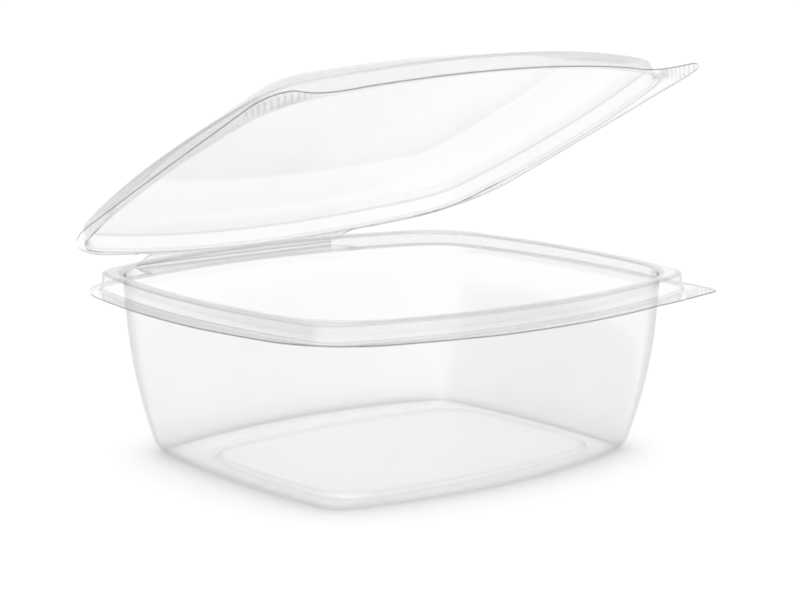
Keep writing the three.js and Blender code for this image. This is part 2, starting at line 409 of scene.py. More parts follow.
@dataclass(frozen=True)
class ClearSheet:
    """The finish of clear formed sheet, which is bright face on and greyer where it is seen end on and in its
    bends, partly by painted shade.

    Attributes:
        name: Name of the material.
        slot: The record's material slot, which is not used.
        face: Share of light that one skin lets through face on.
        end_on: Share that it loses more where it is seen end on, partly absorption along the longer path and
            partly painted shade for the dark outlines that refraction gives.
        painted_bend_shade: Share that it loses more in its tightest bends, painted shade that stands in for
            the dark lines refraction draws there.
        turned_aside: Share of light that the foot of the wall turns away from the floor beside it.
        cut: Share that a cut edge of the sheet loses.
        haze: Share of light that the sheet scatters.
        roughness: Roughness of its gloss.
        head_on: Share of light that it mirrors head on.
    """

    name: str
    slot: str
    face: float = 0.970
    end_on: float = 0.95
    painted_bend_shade: float = 0.42
    turned_aside: float = 0.27
    cut: float = 0.52
    haze: float = 0.010
    roughness: float = 0.14
    head_on: float = 0.065

    def material(self) -> bpy.types.Material:
        """The material, made once."""
        made = bpy.data.materials.get(self.name)
        if made is not None:
            return made
        mat = bpy.data.materials.new(self.name)
        mat.use_nodes = True
        mat.node_tree.nodes.clear()
        tree = Tree(mat.node_tree)
        facing = tree.add("ShaderNodeLayerWeight", {"Blend": 0.5}).outputs["Facing"]
        place = tree.add("ShaderNodeTexCoord").outputs["Object"]
        streak = self._streaks(tree, place)
        path = tree.add("ShaderNodeLightPath").outputs
        lighting = tree.math("MAXIMUM", path["Is Shadow Ray"], path["Is Diffuse Ray"])
        passed = self._passed(tree, facing, streak, lighting)
        grazing = tree.math("POWER", facing, MIRROR_POWER)
        mirror = tree.math("MULTIPLY_ADD", grazing, 1 - self.head_on, self.head_on)
        mirror = tree.math("MULTIPLY", mirror, tree.math("MULTIPLY_ADD", lighting, LIGHT_MIRRORED, 1.0))
        ripple = tree.add("ShaderNodeTexNoise", {
            "Vector": place, "Scale": RIPPLE_SCALE, "Detail": RIPPLE_DETAIL,
        }).outputs["Fac"]
        bump = tree.add("ShaderNodeBump", {
            "Height": ripple, "Strength": RIPPLE_STRENGTH, "Distance": RIPPLE_DEPTH,
        })
        see = tree.add("ShaderNodeBsdfTransparent", {"Color": passed})
        shine = tree.add("ShaderNodeBsdfGlossy", {
            "Color": WHITE, "Roughness": self.roughness, "Normal": bump.outputs[0],
        })
        milk = tree.add("ShaderNodeBsdfDiffuse", {"Color": MILK})
        cloudy = tree.math("MULTIPLY_ADD", streak, self.haze, self.haze * 0.5)
        body = tree.add("ShaderNodeMixShader", {0: cloudy, 1: see.outputs[0], 2: milk.outputs[0]})
        whole = tree.add("ShaderNodeMixShader", {0: mirror, 1: body.outputs[0], 2: shine.outputs[0]})
        tree.add("ShaderNodeOutputMaterial", {"Surface": whole.outputs[0]})
        return mat

    def _streaks(self, tree: Tree, place: Socket) -> Socket:
        """Soft draw streaks from forming, as a value from 0 to 1."""
        stretched = tree.add("ShaderNodeMapping", {"Vector": place, "Scale": STREAK_SCALE}).outputs[0]
        noise = tree.add("ShaderNodeTexNoise", {"Vector": stretched, "Scale": 1.0, "Detail": STREAK_DETAIL})
        return tree.add("ShaderNodeMapRange", {
            "Value": noise.outputs["Fac"], "From Min": STREAK_RANGE[0], "From Max": STREAK_RANGE[1],
        }).outputs[0]

    def _passed(self, tree: Tree, facing: Socket, streak: Socket, lighting: Socket) -> Socket:
        """The tint that one skin lets through, to the eye or, where lighting is 1, to the floor."""
        bend, cut, standing, low = (
            tree.add("ShaderNodeAttribute", attribute_name=label).outputs["Fac"]
            for label in ("bend", "cut_edge", "standing", "near_floor")
        )
        # Partly painted shade: the sheet darkens towards an end-on look, most where it stands upright.
        upright = tree.math("MULTIPLY_ADD", standing, 1 - LEVEL_END_ON, LEVEL_END_ON)
        edge_on = tree.math("MULTIPLY", tree.math("POWER", facing, END_ON_POWER), upright)
        loss = tree.math("MULTIPLY", edge_on, self.end_on)
        # Painted shade: the bends darken by their share, for the dark lines that refraction draws at them.
        for mark, share in ((bend, self.painted_bend_shade), (cut, self.cut), (streak, STREAK_LOSS)):
            loss = tree.math("MULTIPLY_ADD", mark, share, loss)
        loss = tree.math("ADD", loss, 1 - self.face)
        loss = tree.math("MULTIPLY", loss, tree.math("MULTIPLY_ADD", lighting, LIGHT_LOST, 1.0))
        loss = tree.math("MULTIPLY_ADD", tree.math("MULTIPLY", low, lighting), self.turned_aside, loss)
        level = tree.math("MAXIMUM", tree.math("SUBTRACT", 1.0, loss), DARKEST)
        return tree.add("ShaderNodeCombineColor", {0: level, 1: level, 2: level}).outputs[0]


TUB_SHEET = ClearSheet("clear_tub_sheet", "clear_tub")
LID_SHEET = ClearSheet("clear_lid_sheet", "clear_lid", face=0.968, haze=0.014, roughness=0.24)
TUB_RIBBED = ClearSheet("ribbed_tub_sheet", "clear_tub", face=0.90, end_on=0.50, haze=0.05, roughness=0.16)
LID_RIBBED = ClearSheet("ribbed_lid_sheet", "clear_lid", face=0.88, end_on=0.50, haze=0.05, roughness=0.16)


class NodeTool:
    """A Geometry Nodes tree with named inputs, and its use on a mesh."""

    def __init__(self, name: str, inputs: dict[str, str]) -> None:
        """Starts a tree.

        Args:
            name: Name of the tree.
            inputs: The type of each input by name, in order, after the geometry.
        """
        self.group = bpy.data.node_groups.new(name, "GeometryNodeTree")
        face = self.group.interface
        face.new_socket("Geometry", in_out="INPUT", socket_type="NodeSocketGeometry")
        for label, kind in inputs.items():
            face.new_socket(label, in_out="INPUT", socket_type=kind)
        face.new_socket("Geometry", in_out="OUTPUT", socket_type="NodeSocketGeometry")
        self.tree = Tree(self.group)
        self.given = self.tree.add("NodeGroupInput").outputs

    def finish(self, geometry: Socket) -> None:
        """Ends the tree in Realize Instances and Set Material."""
        real = self.tree.add("GeometryNodeRealizeInstances", {"Geometry": geometry})
        dressed = self.tree.add("GeometryNodeSetMaterial", {
            "Geometry": real.outputs[0], "Material": self.given["Finish"],
        })
        self.tree.add("NodeGroupOutput", {0: dressed.outputs[0]})

    def use(self, name: str, source: bpy.types.Mesh, values: dict[str, object]) -> Piece:
        """Runs the tree on a mesh.

        Args:
            name: Name of the piece.
            source: The mesh that goes in.
            values: What each named input gets.

        Returns:
            The piece, as a plain mesh.
        """
        piece = linked(name, source)
        modifier = piece.modifiers.new(self.group.name, "NODES")
        modifier.node_group = self.group
        for item in self.group.interface.items_tree:
            if item.in_out == "INPUT" and item.name in values:
                modifier[item.identifier] = values[item.name]
        bpy.context.view_layer.update()
        seen = piece.evaluated_get(bpy.context.evaluated_depsgraph_get())
        mesh = bpy.data.meshes.new_from_object(seen)
        piece.modifiers.clear()
        piece.data = mesh
        mesh.name = name
        mesh.set_sharp_from_angle(angle=SHARP_FROM)
        return piece


WELD = 2e-6        # corners nearer than this are joined, in metres
HOOP_CORNERS = 10  # corners of a rib's section


def formed_sheet_tool() -> NodeTool:
    """A tool that gives a middle surface the thickness of the sheet and marks its cut edge."""
    tool = NodeTool("formed_sheet", {"Thickness": "NodeSocketFloat", "Finish": "NodeSocketMaterial"})
    tree, given = tool.tree, tool.given
    normal = tree.add("GeometryNodeInputNormal").outputs[0]
    down = tree.scale(normal, tree.math("MULTIPLY", given["Thickness"], -0.5))
    under = tree.add("GeometryNodeSetPosition", {"Geometry": given["Geometry"], "Offset": down}).outputs[0]
    upper = tree.add("GeometryNodeExtrudeMesh", {
        "Mesh": under, "Offset": tree.scale(normal, given["Thickness"]), "Individual": False,
    }, mode="FACES")
    marked = tree.add("GeometryNodeStoreNamedAttribute", {
        "Geometry": upper.outputs["Mesh"], "Name": "cut_edge", "Value": upper.outputs["Side"],
    }, data_type="FLOAT", domain="FACE")
    turned = tree.add("GeometryNodeFlipFaces", {"Mesh": under}).outputs[0]
    both = tree.add("GeometryNodeJoinGeometry")
    tree.tree.links.new(marked.outputs[0], both.inputs[0])
    tree.tree.links.new(turned, both.inputs[0])
    closed = tree.add("GeometryNodeMergeByDistance", {"Geometry": both.outputs[0], "Distance": WELD})
    smooth = tree.add("GeometryNodeSetShadeSmooth", {"Geometry": closed.outputs[0]})
    tool.finish(smooth.outputs[0])
    return tool


def rib_row_tool() -> NodeTool:
    """A tool that stands rounded ribs along a row, all one way, each as long as the row says there."""
    tool = NodeTool("rib_row", {
        "Count": "NodeSocketInt",
        "Length": "NodeSocketFloat",
        "Width": "NodeSocketFloat",
        "Height": "NodeSocketFloat",
        "Direction": "NodeSocketVector",
        "Finish": "NodeSocketMaterial",
    })
    tree, given = tool.tree, tool.given
    row = tree.add("GeometryNodeMeshToCurve", {"Mesh": given["Geometry"]}).outputs[0]
    points = tree.add("GeometryNodeResampleCurve", {"Curve": row, "Count": given["Count"]}).outputs[0]
    half = tree.math("MULTIPLY", given["Length"], 0.5)
    start = tree.add("ShaderNodeCombineXYZ", {"Y": tree.math("MULTIPLY", half, -1.0)}).outputs[0]
    end = tree.add("ShaderNodeCombineXYZ", {"Y": half}).outputs[0]
    spine = tree.add("GeometryNodeCurvePrimitiveLine", {"Start": start, "End": end}).outputs[0]
    hoop = tree.add("GeometryNodeCurvePrimitiveCircle", {
        "Resolution": HOOP_CORNERS, "Radius": tree.math("MULTIPLY", given["Width"], 0.5),
    }).outputs[0]
    bar = tree.add("GeometryNodeCurveToMesh", {
        "Curve": spine, "Profile Curve": hoop, "Fill Caps": True,
    }).outputs[0]
    flatness = tree.math("DIVIDE", tree.math("MULTIPLY", given["Height"], 2.0), given["Width"])
    squat = tree.add("ShaderNodeCombineXYZ", {"X": 1.0, "Y": 1.0, "Z": flatness}).outputs[0]
    rib = tree.add("GeometryNodeTransform", {"Geometry": bar, "Scale": squat}).outputs[0]
    turned = tree.add(
        "FunctionNodeAlignRotationToVector", {"Vector": given["Direction"]}, axis="Y", pivot_axis="Z"
    ).outputs[0]
    share = tree.add("GeometryNodeInputNamedAttribute", {"Name": "share"}, data_type="FLOAT")
    stretch = tree.add("ShaderNodeCombineXYZ", {"X": 1.0, "Y": share.outputs["Attribute"], "Z": 1.0})
    stood = tree.add("GeometryNodeInstanceOnPoints", {
        "Points": points, "Instance": rib, "Rotation": turned, "Scale": stretch.outputs[0],
    })
    tool.finish(stood.outputs[0])
    return tool


def lid_at_rest(points: Array) -> Array:
    """Turns points of the shut lid to where it stands open.

    Args:
        points: Millimetres in the plan of the tub, with the height over the lid's own flange.

    Returns:
        Millimetres in the part's frame.
    """
    x = points[:, 0]
    y = points[:, 1] + SIZES.tub_y - SIZES.fold_y
    z = points[:, 2] + SIZES.lid_lift / 2
    cos, sin = math.cos(SIZES.lid_open), -math.sin(SIZES.lid_open)
    return np.column_stack([x, y * cos - z * sin + SIZES.fold_y, y * sin + z * cos + SIZES.fold_z])


def tub_at_rest(points: Array) -> Array:
    """Moves points from the plan of the tub to the part's frame, in millimetres."""
    return points + [0.0, SIZES.tub_y, 0.0]


AT_REST = {Body.TUB: tub_at_rest, Body.LID: lid_at_rest}


def linked(name: str, data: bpy.types.ID) -> Piece:
    """A new object in the scene."""
    made = bpy.data.objects.new(name, data)
    bpy.context.scene.collection.objects.link(made)
    return made


def mesh_of(
    name: str, points: Array, edges: list[tuple[int, int]], faces: list[tuple[int, ...]]
) -> bpy.types.Mesh:
    """A mesh from points in millimetres."""
    mesh = bpy.data.meshes.new(name)
    mesh.from_pydata((points * MM).tolist(), edges, faces)
    mesh.update()
    return mesh


FILLET_LENGTH = 2.4  # from the end of the web along the flange's edge, in millimetres
FILLET_REACH = 1.6
LEVEL_WITHIN = 0.01  # a row nearer than this to the flange's height is part of the flange


@dataclass
class FormedPiece:
    """One sheet formed over a profile, with its flange's own edge.

    Attributes:
        name: Name of the piece.
        body: The body that it rides on.
        finish: Its finish.
        bends: The profile from the middle outward, up to the inside of the flange.
        flange: The plain ring at the edge of the flange.
    """

    name: str
    body: Body
    finish: ClearSheet
    bends: list[Bend]
    flange: Ring

    def edge(self, columns: Columns) -> Array:
        """Plan of the flange's edge, with the hinge's web drawn out to the fold.

        Args:
            columns: Where the sheet's columns stand.

        Returns:
            One plan point for each column.
        """
        plan = columns.outline(self.flange)
        fold = SIZES.rim_b + SIZES.flange_out + SIZES.hinge_web - SIZES.fold_gap
        at_hinge = plan[:, 1] > 0
        inside = SIZES.hinge_half - np.abs(plan[:, 0])
        web = at_hinge & (inside >= 0)
        plan[web, 1] = fold
        fillet = at_hinge & (inside < 0) & (inside > -FILLET_LENGTH)
        plan[fillet, 1] += FILLET_REACH * (1 + inside[fillet] / FILLET_LENGTH) ** 3
        return plan

    def lift(self, plan: Array) -> Array:
        """How far the flange's edge stands above its plane at each plan point."""
        return np.zeros(len(plan))

    def middle(self) -> bpy.types.Mesh:
        """The middle surface of the sheet, with how its rows bend, stand and near the floor."""
        columns = Columns.for_flange(self.flange)
        rows = rounded([*self.bends, Bend(self.flange)])
        plain = columns.outline(self.flange)
        count = len(plain)
        drifts = self.drift(rows)
        levels = [
            np.column_stack([columns.outline(r) + [0.0, drift], np.full(count, r.z)])
            for r, drift in zip(rows, drifts)
        ]
        shift = np.column_stack([self.edge(columns) - plain, self.lift(plain)])
        off_level = [i for i, r in enumerate(rows) if abs(r.z - self.flange.z) > LEVEL_WITHIN]
        flat_rows = levels[off_level[-1] + 1:]
        for share, level in zip(np.linspace(0, 1, len(flat_rows)), flat_rows):
            level += shift * share
        centre = np.array([[0.0, drifts[0], rows[0].z]])
        points = np.concatenate([centre, *levels])
        mesh = mesh_of(self.name, self.placed(points), [], self._faces(len(levels), count))
        # bend and standing set where the finish paints shade; near_floor sets where the wall shades the floor
        # beside it.
        shares = {
            "bend": sharpness(rows),
            "standing": steepness(rows),
            "near_floor": self.near_floor(rows),
        }
        for label, share in shares.items():
            values = np.concatenate([share[:1], np.repeat(share, count)]).astype(np.float32)
            mesh.attributes.new(label, "FLOAT", "POINT").data.foreach_set("value", values)
        return mesh

    def near_floor(self, rows: list[Ring]) -> Array:
        """How near the floor each row of a wall is, from 0 to 1."""
        return np.zeros(len(rows))

    def drift(self, rows: list[Ring]) -> Array:
        """How far each row lies from the middle along Y, in millimetres."""
        return np.zeros(len(rows))

    @staticmethod
    def _faces(rows: int, count: int) -> list[tuple[int, ...]]:
        """Faces over rows of columns and a fan round the middle point, which is the first."""
        faces: list[tuple[int, ...]] = [(0, 1 + j, 1 + (j + 1) % count) for j in range(count)]
        for i in range(rows - 1):
            here, there = 1 + i * count, 1 + (i + 1) * count
            for j in range(count):
                k = (j + 1) % count
                faces.append((here + j, there + j, there + k, here + k))
        return faces

    def placed(self, points: Array) -> Array:
        """Moves points to where the body stands at rest."""
        return AT_REST[self.body](points)

    def build(self, tool: NodeTool) -> Piece:
        """Makes the piece and puts it on its body in place of its CAD node.

        Args:
            tool: The tool that gives the sheet its thickness.

        Returns:
            The piece.
        """
        piece = tool.use(self.name, self.middle(), {
            "Thickness": SIZES.sheet * MM, "Finish": self.finish.material(),
        })
        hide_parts(self.body.value)
        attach(piece, self.body.value)
        return piece


@dataclass
class TubShell(FormedPiece):
    """The tub's sheet: the front right corner runs out to a point and the front left one is eased.

    Attributes:
        point: Outer curve of the point in plan, from the short side round to the front.
        point_from: Past which x, and nearer the front than which y, the flange runs out to the point.
        eased_radius: Corner radius of the front left corner.
        eased_lift: How far that corner bends up.
        eased_turn: Middle and half width of that bend, in degrees round from -X towards the front.
        shaded_height: Height up to which the wall turns light away from the floor.
        foot_a: Half length along X past which the sheet is wall.
        panel_a: Half lengths along X of the panel's edge and of the band round it.
        panel_drift: How far the base panel lies from the middle along Y.
    """

    point: tuple[PlanPoint, ...] = (
        (85.3, -56.0), (84.4, -63.0), (83.8, -68.4), (82.3, -71.4),
        (79.6, -72.5), (71.4, -74.2), (58.6, -77.0),
    )
    point_from: PlanPoint = (46.0, -48.0)
    eased_radius: float = 38.0
    eased_lift: float = 0.4
    eased_turn: tuple[float, float] = (42.0, 30.0)
    shaded_height: float = 30.0
    foot_a: float = 65.0
    panel_a: tuple[float, float] = (58.5, 64.8)
    panel_drift: float = -5.8

    def edge(self, columns: Columns) -> Array:
        """Plan of the flange's edge, with its two front corners."""
        plan = super().edge(columns)
        left = (plan[:, 0] < 0) & (plan[:, 1] < 0)
        plan[left] = columns.outline(self.flange.grown(0.0, self.eased_radius))[left]
        x, y = self.point_from
        where = np.flatnonzero((plan[:, 0] > x) & (plan[:, 1] < y))[::-1]
        run = plan[where]
        curve = np.concatenate([run[:1], np.array(self.point), run[-1:]])
        plan[where] = along_curve(run, curve)
        return plan

    def drift(self, rows: list[Ring]) -> Array:
        """The base panel lies a little nearer the front."""
        return np.interp([r.a for r in rows], self.panel_a, (self.panel_drift, 0.0))

    def near_floor(self, rows: list[Ring]) -> Array:
        """How near the floor each row of the wall is, from 0 to 1, and 0 in the base."""
        height = np.array([r.z for r in rows])
        wall = np.array([r.a for r in rows]) > self.foot_a
        return np.where(wall, np.clip(1 - height / self.shaded_height, 0, 1) ** 2, 0)

    def lift(self, plan: Array) -> Array:
        """The front left corner bends up a little."""
        turn = np.degrees(np.arctan2(-plan[:, 1], -plan[:, 0]))
        middle, half = self.eased_turn
        return self.eased_lift * np.clip(1 - ((turn - middle) / half) ** 2, 0, 1)


@dataclass
class LidShell(FormedPiece):
    """The lid's sheet, whose two front corners run out to pull ears.

    Attributes:
        ear: Straight side's end, pull and tip of the ear, and the pull of its waist, in plan.
        ear_side_y: Where the ear leaves the short side.
        ear_front_x: Where it meets the front edge.
        hinge_radius: Radius of the corners at the hinge.
        past_hinge: How far past the ends of the hinge these corners start.
    """

    ear: tuple[PlanPoint, ...] = ((91.7, -60.0), (92.4, -74.8), (82.5, -75.4), (70.0, -69.0))
    ear_side_y: float = -40.0
    ear_front_x: float = 56.0
    hinge_radius: float = 38.0
    past_hinge: float = 8.0

    def ear_curve(self, steps: int = 24) -> Array:
        """Outer curve of the right pull ear, from the short side round to the front."""
        edge = self.flange
        side = (edge.a - self.ear_side_y**2 / (2 * edge.bow_a), self.ear_side_y)
        front = (self.ear_front_x, self.ear_front_x**2 / (2 * edge.bow_b) - edge.b)
        t = np.linspace(0, 1, steps)[:, None]

        def swung(*ends: PlanPoint) -> Array:
            """A quadratic curve between the first and last point, pulled to the middle one."""
            p, q, r = (np.array(end) for end in ends)
            return (1 - t) ** 2 * p + 2 * t * (1 - t) * q + t**2 * r

        start, pull, tip, waist = self.ear
        straight = np.array(side) + t * (np.array(start) - np.array(side))
        return np.concatenate([straight, swung(start, pull, tip)[1:], swung(tip, waist, front)[1:]])

    def edge(self, columns: Columns) -> Array:
        """Plan of the flange's edge, with the ears and wide corners at the hinge."""
        plan = super().edge(columns)
        corner = (plan[:, 1] > 0) & (np.abs(plan[:, 0]) > SIZES.hinge_half + self.past_hinge)
        plan[corner] = columns.outline(self.flange.grown(0.0, self.hinge_radius))[corner]
        curve = self.ear_curve()
        for side in Side:
            near = (plan[:, 0] * side.value > self.ear_front_x) & (plan[:, 1] < self.ear_side_y)
            where = np.flatnonzero(near)[::-side.value]
            plan[where] = along_curve(plan[where] * [side.value, 1], curve) * [side.value, 1]
        return plan


RIM = Ring(SIZES.rim_a, SIZES.rim_b, SIZES.rim_bow_a, SIZES.rim_bow_b, 13.0, SIZES.rim_height)


@dataclass
class Tub:
    """The tub: base, drafted wall, ledge, rim bead, skirt and flange, with one pointed corner.

    Attributes:
        panel: Edge of the raised base panel.
        band: Outer edge of the foot band round it.
        foot: Where the wall starts.
        wall_top: Where it ends, under the ledge.
        bulge: How fast the wall leaves the foot, where 0 is a straight wall.
        wall_rows: Rows of the wall.
        rib_row: The grip ribs on the pointed corner.
    """

    panel: Ring = Ring(57.0, 42.0, 230.0, 300.0, 17.0, 1.7)
    band: Ring = Ring(64.8, 57.2, 349.0, 191.0, 7.0, 0.25)
    foot: Ring = Ring(68.4, 60.8, 352.4, 194.4, 9.0, 3.4)
    wall_top: Ring = RIM.grown(-3.9, 33.0, 54.2)
    bulge: float = 0.85
    wall_rows: int = 22
    rib_row: tuple[RibPoint, ...] = (
        (70.4, -69.1, 13.5), (73.5, -68.6, 15.5), (76.7, -68.2, 13.5),
        (78.8, -69.0, 10.0), (80.9, -69.6, 5.0),
    )

    @property
    def flange(self) -> Ring:
        """Edge of the flange."""
        return RIM.grown(SIZES.flange_out, 30.0, SIZES.flange_height)

    def profile(self) -> list[Bend]:
        """The profile from the middle of the base to the foot of the skirt."""
        flat = [Bend(self.panel.shrunk(k, self.panel.z), 0) for k in (0.04, 0.3, 0.6, 0.8)]
        base = [
            Bend(self.panel, 0.8),
            Bend(self.panel.grown(1.5, 18.5, 0.25), 0.8),
            Bend(self.band, 0.9),
            Bend(self.band.grown(2.0, 8.4, 1.2), 0.9),
            Bend(self.foot, 1.2),
        ]
        return [*flat, *base, *self._wall(), *self._rim()]

    def _wall(self) -> list[Bend]:
        """The wall, which leaves the foot fast and steepens towards the rim."""
        wall = []
        for i in range(1, self.wall_rows):
            t = i / self.wall_rows
            k = t + self.bulge * t * (1 - t)
            z = self.foot.z + (self.wall_top.z - self.foot.z) * t
            wall.append(Bend(replace(self.foot.towards(self.wall_top, k), z=z), 0))
        return [*wall, Bend(self.wall_top, 0.8)]

    def _rim(self) -> list[Bend]:
        """Ledge, rim bead, outer skirt and the inside of the flange."""
        top = SIZES.rim_height - SIZES.sheet / 2
        low = SIZES.flange_height
        return [
            Bend(RIM.grown(-3.4, 34.0, 57.0), 0.8),
            Bend(RIM.grown(-3.6, 34.0, top - 0.6), 0.5),
            Bend(RIM.grown(-2.9, 30.0, top), 0.5),
            Bend(RIM.grown(-0.7, 14.5, top), 0.5),
            Bend(RIM.grown(0.0, 13.0, top - 0.6), 0.5),
            Bend(RIM.grown(0.5, 13.5, low + 0.8), 0.5),
            Bend(RIM.grown(1.2, 14.5, low), 0.5),
            Bend(RIM.grown(2.4, 16.0, low), 0),
        ]

    def build(self, sheet: NodeTool, ribs: NodeTool) -> list[Piece]:
        """Makes the tub's pieces.

        Args:
            sheet: The tool that gives the sheet its thickness.
            ribs: The tool that makes grip ribs.

        Returns:
            The pieces.
        """
        shell = TubShell("tub_shell", Body.TUB, TUB_SHEET, self.profile(), self.flange).build(sheet)
        grip = GripRow("tub_grip", Body.TUB, TUB_RIBBED, self.rib_row, (0.72, 0.69), count=8)
        return [shell, grip.build(ribs)]


@dataclass
class Lid:
    """The lid: crowned plateau, shoulder, ledge, skirt and flange, with two pull ears.

    It is a little wider than the tub, with a nearly straight flange along its short sides.

    Attributes:
        edge: Edge of the flange.
        skirt: Top of the skirt that covers the rim bead.
        ledge: Foot of the shoulder.
        plateau: Where the shoulder meets the plateau.
        crown: Height of the plateau's middle.
        crown_rows: Sizes of the plateau's rows, as shares of its own.
        left_ribs: The grip ribs on the left ear.
        right_ribs: The grip ribs on the right ear.
    """

    edge: Ring = Ring(92.4, 81.4, 1800.0, 235.0, 32.0, 0.0)
    skirt: Ring = Ring(88.0, 79.2, 261.0, 201.0, 19.0, 5.8)
    ledge: Ring = Ring(81.6, 72.0, 262.0, 205.0, 17.0, 8.1)
    plateau: Ring = Ring(66.2, 54.6, 285.0, 200.0, 12.0, 16.5)
    crown: float = 17.6
    crown_rows: tuple[float, ...] = (0.04, 0.2, 0.4, 0.6, 0.75, 0.88)
    left_ribs: tuple[RibPoint, ...] = (
        (-88.6, -57.6, 4.5), (-86.6, -61.3, 7.4), (-83.7, -64.6, 9.0),
        (-80.3, -67.0, 9.0), (-76.4, -68.7, 6.6), (-72.6, -69.4, 2.6),
    )
    right_ribs: tuple[RibPoint, ...] = (
        (74.3, -68.6, 4.0), (80.4, -65.8, 13.5), (84.4, -66.4, 17.0),
        (86.7, -68.4, 12.5), (88.4, -70.2, 5.5),
    )

    def profile(self) -> list[Bend]:
        """The profile from the middle of the plateau to the foot of the skirt."""
        inner = self.plateau.grown(-1.2)
        drop = self.crown - self.plateau.z
        crowned = [Bend(inner.shrunk(k, self.crown - drop * k * k), 0) for k in self.crown_rows]
        shoulder = self.plateau.towards(self.ledge, 0.55)
        return [
            *crowned,
            Bend(inner, 0.7),
            Bend(self.plateau.grown(0.6, 13.5, self.plateau.z - 0.7), 0.7),
            Bend(replace(shoulder, corner=15.5, z=11.8), 3.0),
            Bend(self.ledge, 0.8),
            Bend(self.ledge.grown(1.0, 17.5, self.ledge.z - 0.3), 0.8),
            Bend(self.skirt.grown(-0.7, 18.3, 6.4), 0.6),
            Bend(self.skirt, 0.6),
            Bend(self.skirt.grown(0.4, 20.0, 0.9), 0.6),
            Bend(self.skirt.grown(1.2, 21.0, 0.0), 0.6),
            Bend(self.skirt.grown(1.6, 22.0, 0.0), 0),
        ]

    def build(self, sheet: NodeTool, ribs: NodeTool) -> list[Piece]:
        """Makes the lid's pieces.

        Args:
            sheet: The tool that gives the sheet its thickness.
            ribs: The tool that makes grip ribs.

        Returns:
            The pieces.
        """
        shell = LidShell("lid_shell", Body.LID, LID_SHEET, self.profile(), self.edge).build(sheet)
        left = GripRow("lid_grip_left", Body.LID, LID_RIBBED, self.left_ribs, (0.55, 0.83), count=11)
        right = GripRow("lid_grip_right", Body.LID, LID_RIBBED, self.right_ribs, (0.69, 0.72), count=11)
        return [shell, left.build(ribs), right.build(ribs)]


def along_curve(run: Array, curve: Array) -> Array:
    """Points of a curve at the shares of its length that a run of points stands at.

    Args:
        run: Plan points in order.
        curve: Plan points of the curve, from the same end.

    Returns:
        One point of the curve for each point of the run.
    """
    def shares(points: Array) -> Array:
        """Share of the whole length at each point."""
        steps = np.hypot(*np.diff(points, axis=0).T)
        length = np.concatenate([[0.0], np.cumsum(steps)])
        return length / length[-1]

    at, known = shares(run), shares(curve)
    return np.column_stack([np.interp(at, known, curve[:, 0]), np.interp(at, known, curve[:, 1])])


@dataclass
class GripRow:
    """A row of fine grip ribs on a flange's corner.

    Attributes:
        name: Name of the piece.
        body: The body that it rides on.
        finish: Its finish.
        row: The line through the middles of the ribs and their length there, in millimetres in plan.
        direction: Which way the ribs run in plan.
        count: How many ribs.
        width: Width of a rib.
        height: How far a rib stands out of the sheet.
    """

    name: str
    body: Body
    finish: ClearSheet
    row: tuple[RibPoint, ...]
    direction: tuple[float, float]
    count: int
    width: float = 0.85
    height: float = 0.22

    def build(self, tool: NodeTool) -> Piece:
        """Makes the row flat and turns it to where its body stands.

        Args:
            tool: The tool that makes grip ribs.

        Returns:
            The piece.
        """
        edges = [(i, i + 1) for i in range(len(self.row) - 1)]
        height = SIZES.flange_height - SIZES.sheet / 2 if self.body is Body.TUB else SIZES.sheet / 2
        longest = max(length for _, _, length in self.row)
        line = mesh_of(self.name + "_row", np.array([(x, y, height) for x, y, _ in self.row]), edges, [])
        shares = np.array([length / longest for _, _, length in self.row], dtype=np.float32)
        line.attributes.new("share", "FLOAT", "POINT").data.foreach_set("value", shares)
        piece = tool.use(self.name, line, {
            "Count": self.count,
            "Length": longest * MM,
            "Width": self.width * MM,
            "Height": self.height * MM,
            "Direction": (*self.direction, 0.0),
            "Finish": self.finish.material(),
        })
        flat = np.empty(len(piece.data.vertices) * 3)
        piece.data.vertices.foreach_get("co", flat)
        placed = AT_REST[self.body](flat.reshape(-1, 3) / MM) * MM
        piece.data.vertices.foreach_set("co", placed.ravel())
        piece.data.update()
        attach(piece, self.body.value)
        return piece


@dataclass
class FoldFilm:
    """The thin film at the fold, which joins the two halves of the web.

    Attributes:
        lap: How far it laps each half of the web, in millimetres.
        parts: Divisions of its bend.
        columns: Columns of points along the hinge.
        thickness: Thickness of the film.
        pressed: Share of its reach past the ends of the web that the crease keeps.
    """

    lap: float = 0.35
    parts: int = 14
    columns: int = 31
    thickness: float = 0.3
    pressed: float = 0.3

    def path(self) -> Array:
        """Section of the film's middle from the tub's half to the lid's, over the fold line."""
        radius = SIZES.lid_lift / 2
        last = math.pi / 2 - SIZES.lid_open
        angles = np.linspace(-math.pi / 2, last, self.parts + 1)
        arc = radius * np.column_stack([np.cos(angles), np.sin(angles)])
        back = SIZES.fold_gap + self.lap
        tub_end = arc[0] + [-back, 0.0]
        lid_end = arc[-1] + back * np.array([-math.sin(last), math.cos(last)])
        path = np.concatenate([[tub_end], arc, [lid_end]])
        past = np.maximum(path[:, 0] + SIZES.fold_gap, 0)
        path[:, 0] -= past * (1 - self.pressed)
        return path

    def build(self, tool: NodeTool) -> Piece:
        """Makes the film and bends it between the tub and the lid.

        Args:
            tool: The tool that gives the sheet its thickness.

        Returns:
            The piece.
        """
        path = self.path()
        across = np.linspace(-SIZES.hinge_half, SIZES.hinge_half, self.columns)
        points = np.array([(x, SIZES.fold_y + y, SIZES.fold_z + z) for y, z in path for x in across])
        faces = []
        for i in range(len(path) - 1):
            for j in range(len(across) - 1):
                here, there = i * len(across) + j, (i + 1) * len(across) + j
                faces.append((here, here + 1, there + 1, there))
        middle = mesh_of("fold_film", points, [], faces)
        # The film gets no painted bend shade.
        middle.attributes.new("bend", "FLOAT", "POINT")
        film = tool.use("fold_film", middle, {
            "Thickness": self.thickness * MM, "Finish": LID_SHEET.material(),
        })
        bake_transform(film)
        return film


